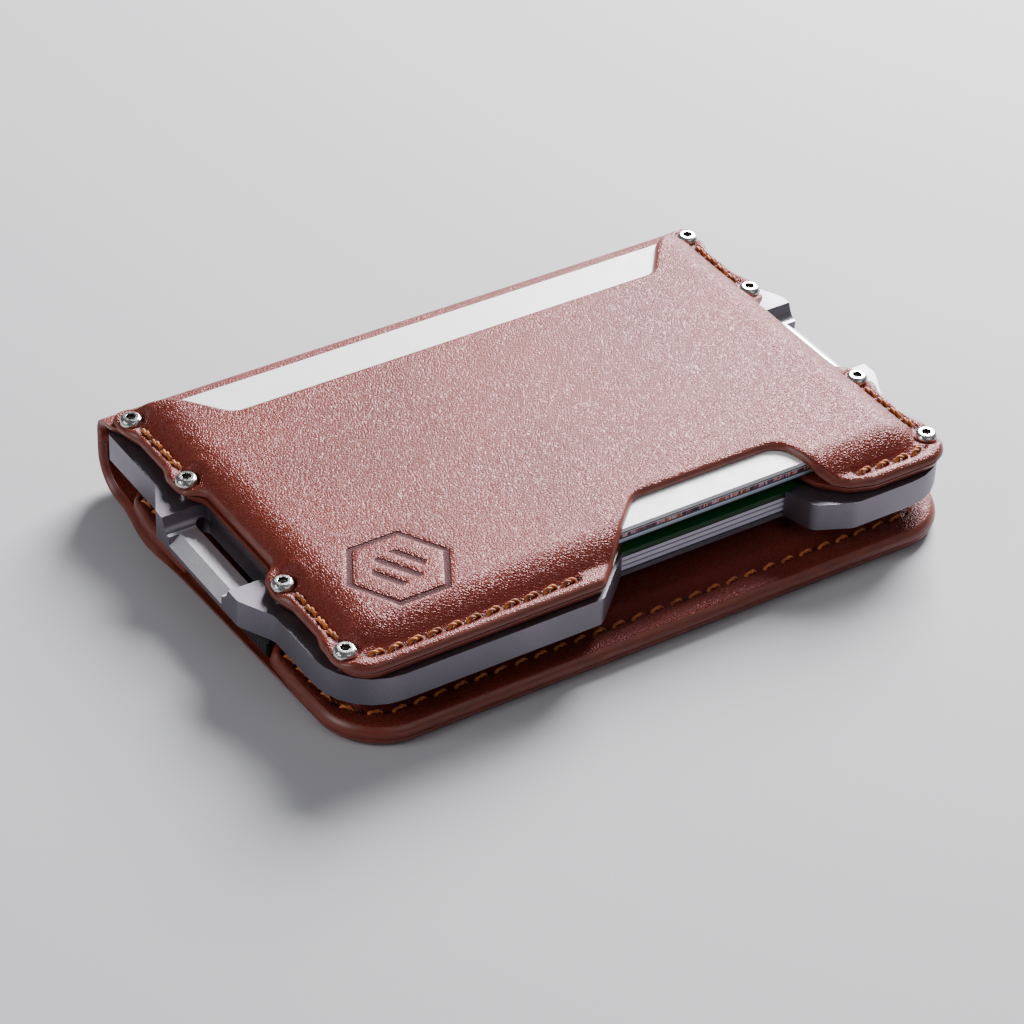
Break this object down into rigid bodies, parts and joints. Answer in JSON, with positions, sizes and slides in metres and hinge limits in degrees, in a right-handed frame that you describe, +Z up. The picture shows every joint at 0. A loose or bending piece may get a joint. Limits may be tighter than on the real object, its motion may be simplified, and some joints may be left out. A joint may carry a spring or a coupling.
{
  "type": "minimalist wallet",
  "caption": "Slim bifold wallet: folded leather cover, metal card tray screwed under a moulded leather card pocket with a thumb notch, inner pocket with an elastic cash band, cards inside.",
  "frame": {"origin": "middle of the shut wallet's footprint, on the underside of the lower leather panel", "axes": "+X along the long side, +Y towards the folded spine, +Z up through the pocket"},
  "size_m": [0.1026, 0.0692, 0.0154],
  "materials": {
    "leather": "pebbled full-grain leather, burnished edges",
    "aluminium": "bead-blasted, with bright machined chamfers and bars",
    "screws": "stainless steel, turned",
    "thread": "waxed orange-brown thread",
    "elastic": "black woven elastic",
    "white_card": "plain white card",
    "dark_pink_card": "dark card with a pink edge",
    "grey_blue_card": "grey-blue card",
    "green_card": "green card",
    "dark_card": "dark grey card",
    "lilac_card": "pale lilac card"
  },
  "bodies": {
    "cover": {"cover_leather": "leather", "inner_pocket_leather": "leather", "cash_band": "elastic", "thread_cover_left": "thread", "thread_cover_front": "thread", "thread_cover_right": "thread"},
    "spine": {"spine_leather": "leather"},
    "upper": {"tray": "aluminium", "base_leather": "leather", "pocket_leather": "leather", "screw_1": "screws", "screw_2": "screws", "screw_3": "screws", "screw_4": "screws", "screw_5": "screws", "screw_6": "screws", "screw_7": "screws", "screw_8": "screws", "thread_rear_left": "thread", "thread_side_left": "thread", "thread_front_left": "thread", "thread_front_right": "thread", "thread_side_right": "thread", "thread_rear_right": "thread"},
    "quick_card_1": {"quick_card_1": "grey_blue_card"},
    "quick_card_2": {"quick_card_2": "dark_pink_card"},
    "quick_card_3": {"quick_card_3": "white_card"},
    "tray_card_1": {"tray_card_1": "lilac_card"},
    "tray_card_2": {"tray_card_2": "lilac_card"},
    "tray_card_3": {"tray_card_3": "dark_card"},
    "tray_card_4": {"tray_card_4": "green_card"}
  },
  "joints": [
    {"name": "cover_fold", "type": "hinge", "parent": "cover", "child": "spine", "pos_m": [0, 0.03299, 0.00161], "axis": [-1, 0, 0], "range_deg": [0, 80]},
    {"name": "upper_fold", "type": "hinge", "parent": "spine", "child": "upper", "pos_m": [0, 0.03372, 0.01092], "axis": [-1, 0, 0], "range_deg": [0, 80]},
    {"name": "quick_card_1_slide", "type": "slide", "parent": "upper", "child": "quick_card_1", "axis": [0, 1, 0], "range_m": [0, 0.062]},
    {"name": "quick_card_2_slide", "type": "slide", "parent": "upper", "child": "quick_card_2", "axis": [0, 1, 0], "range_m": [0, 0.062]},
    {"name": "quick_card_3_slide", "type": "slide", "parent": "upper", "child": "quick_card_3", "axis": [0, 1, 0], "range_m": [0, 0.062]},
    {"name": "tray_card_1_slide", "type": "slide", "parent": "upper", "child": "tray_card_1", "axis": [0, 1, 0], "range_m": [0, 0.004]},
    {"name": "tray_card_2_slide", "type": "slide", "parent": "upper", "child": "tray_card_2", "axis": [0, 1, 0], "range_m": [0, 0.004]},
    {"name": "tray_card_3_slide", "type": "slide", "parent": "upper", "child": "tray_card_3", "axis": [0, 1, 0], "range_m": [0, 0.004]},
    {"name": "tray_card_4_slide", "type": "slide", "parent": "upper", "child": "tray_card_4", "axis": [0, 1, 0], "range_m": [0, 0.004]}
  ],
  "couplings": [
    {"joint": "upper_fold", "follows": "cover_fold", "ratio": 1}
  ]
}
